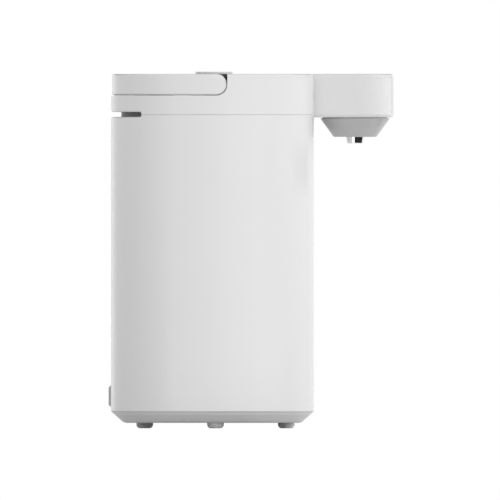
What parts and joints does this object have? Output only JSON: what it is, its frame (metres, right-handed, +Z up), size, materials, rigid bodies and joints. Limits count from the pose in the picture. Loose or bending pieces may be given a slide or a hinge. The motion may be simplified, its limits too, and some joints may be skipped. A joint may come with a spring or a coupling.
{
  "type": "hot water dispenser",
  "caption": "Electric hot water dispenser with a rounded square body, pump, spout arm with tapered nozzle, and a rear lid on a hinge with a push-button latch.",
  "frame": {"origin": "on the table, under the middle of the overall box", "axes": "+Z up, +X from the back of the body towards the spout, +Y to the left of someone facing the way the spout points"},
  "size_m": [0.2854, 0.203, 0.3566],
  "materials": {
    "white_shell": "satin white moulding",
    "grey_shell": "satin mid-grey moulding",
    "base_shell": "satin light grey moulding",
    "slot_trim": "satin dark grey moulding",
    "dark_trim": "matt dark grey",
    "foot_rubber": "satin pale grey rubber",
    "silicone": "milky silicone",
    "tank_steel": "brushed stainless",
    "screw_steel": "plain steel",
    "bright_metal": "polished",
    "heater_metal": "cast and machined",
    "felt": "pressed felt",
    "inner_plastic": "natural moulding",
    "touch_black": "gloss black window",
    "circuit_green": "solder-masked board",
    "component_black": "moulded cases",
    "lead_sheath": "insulated wire",
    "pin_brass": "plain brass"
  },
  "bodies": {
    "dispenser_body": {"outer_casing": "white_shell", "upper_housing": "white_shell", "top_cover": "white_shell", "hinge_bridge": "dark_trim", "base_tray": "base_shell", "nozzle_cone": "grey_shell", "power_inlet": "grey_shell", "vent_liner": "slot_trim", "rubber_feet": "foot_rubber", "pump_damper": "foot_rubber", "riser_hose": "silicone", "outlet_sleeve": "silicone", "tank_seal": "silicone", "return_dome": "silicone", "inner_tank": "tank_steel", "heating_tube": "tank_steel", "pump_motor": "tank_steel", "thermal_cutouts": "tank_steel", "base_screws": "screw_steel", "deck_screws": "screw_steel", "nozzle_tip": "bright_metal", "heater_plate": "heater_metal", "insulation_jacket": "felt", "mouth_frame": "inner_plastic", "tank_support": "inner_plastic", "latch_carrier": "inner_plastic", "pump_volute": "inner_plastic", "outlet_elbow": "inner_plastic", "touch_window": "touch_black", "touch_board": "circuit_green", "power_board": "circuit_green", "board_components": "component_black", "mains_leads": "lead_sheath", "inlet_pins": "pin_brass"},
    "lid": {"lid_cover": "white_shell", "lid_inner": "inner_plastic", "lid_gasket": "silicone", "lid_screws": "screw_steel", "hinge_pins": "tank_steel", "steam_cap": "inner_plastic"},
    "button": {"release_button": "white_shell"},
    "latch": {"lid_latch": "inner_plastic"},
    "impeller": {"pump_impeller": "inner_plastic"}
  },
  "joints": [
    {"name": "lid_hinge", "type": "hinge", "parent": "dispenser_body", "child": "lid", "pos_m": [-0.035, 0, 0.34385], "axis": [0, 1, 0], "range_deg": [0, 85]},
    {"name": "button_press", "type": "slide", "parent": "dispenser_body", "child": "button", "axis": [0, 0, -1], "range_m": [0, 0.0025], "stiffness_N_per_m": 800, "springref_m": -0.0025, "deforming": ["return_dome"]},
    {"name": "latch_draw", "type": "slide", "parent": "dispenser_body", "child": "latch", "axis": [1, 0, 0], "range_m": [0, 0.0025]},
    {"name": "impeller_spin", "type": "hinge", "parent": "dispenser_body", "child": "impeller", "pos_m": [-0.0048, 0, 0.0494], "axis": [0, 0, 1], "continuous": true}
  ],
  "couplings": [
    {"joint": "latch_draw", "follows": "button_press", "ratio": 1}
  ]
}
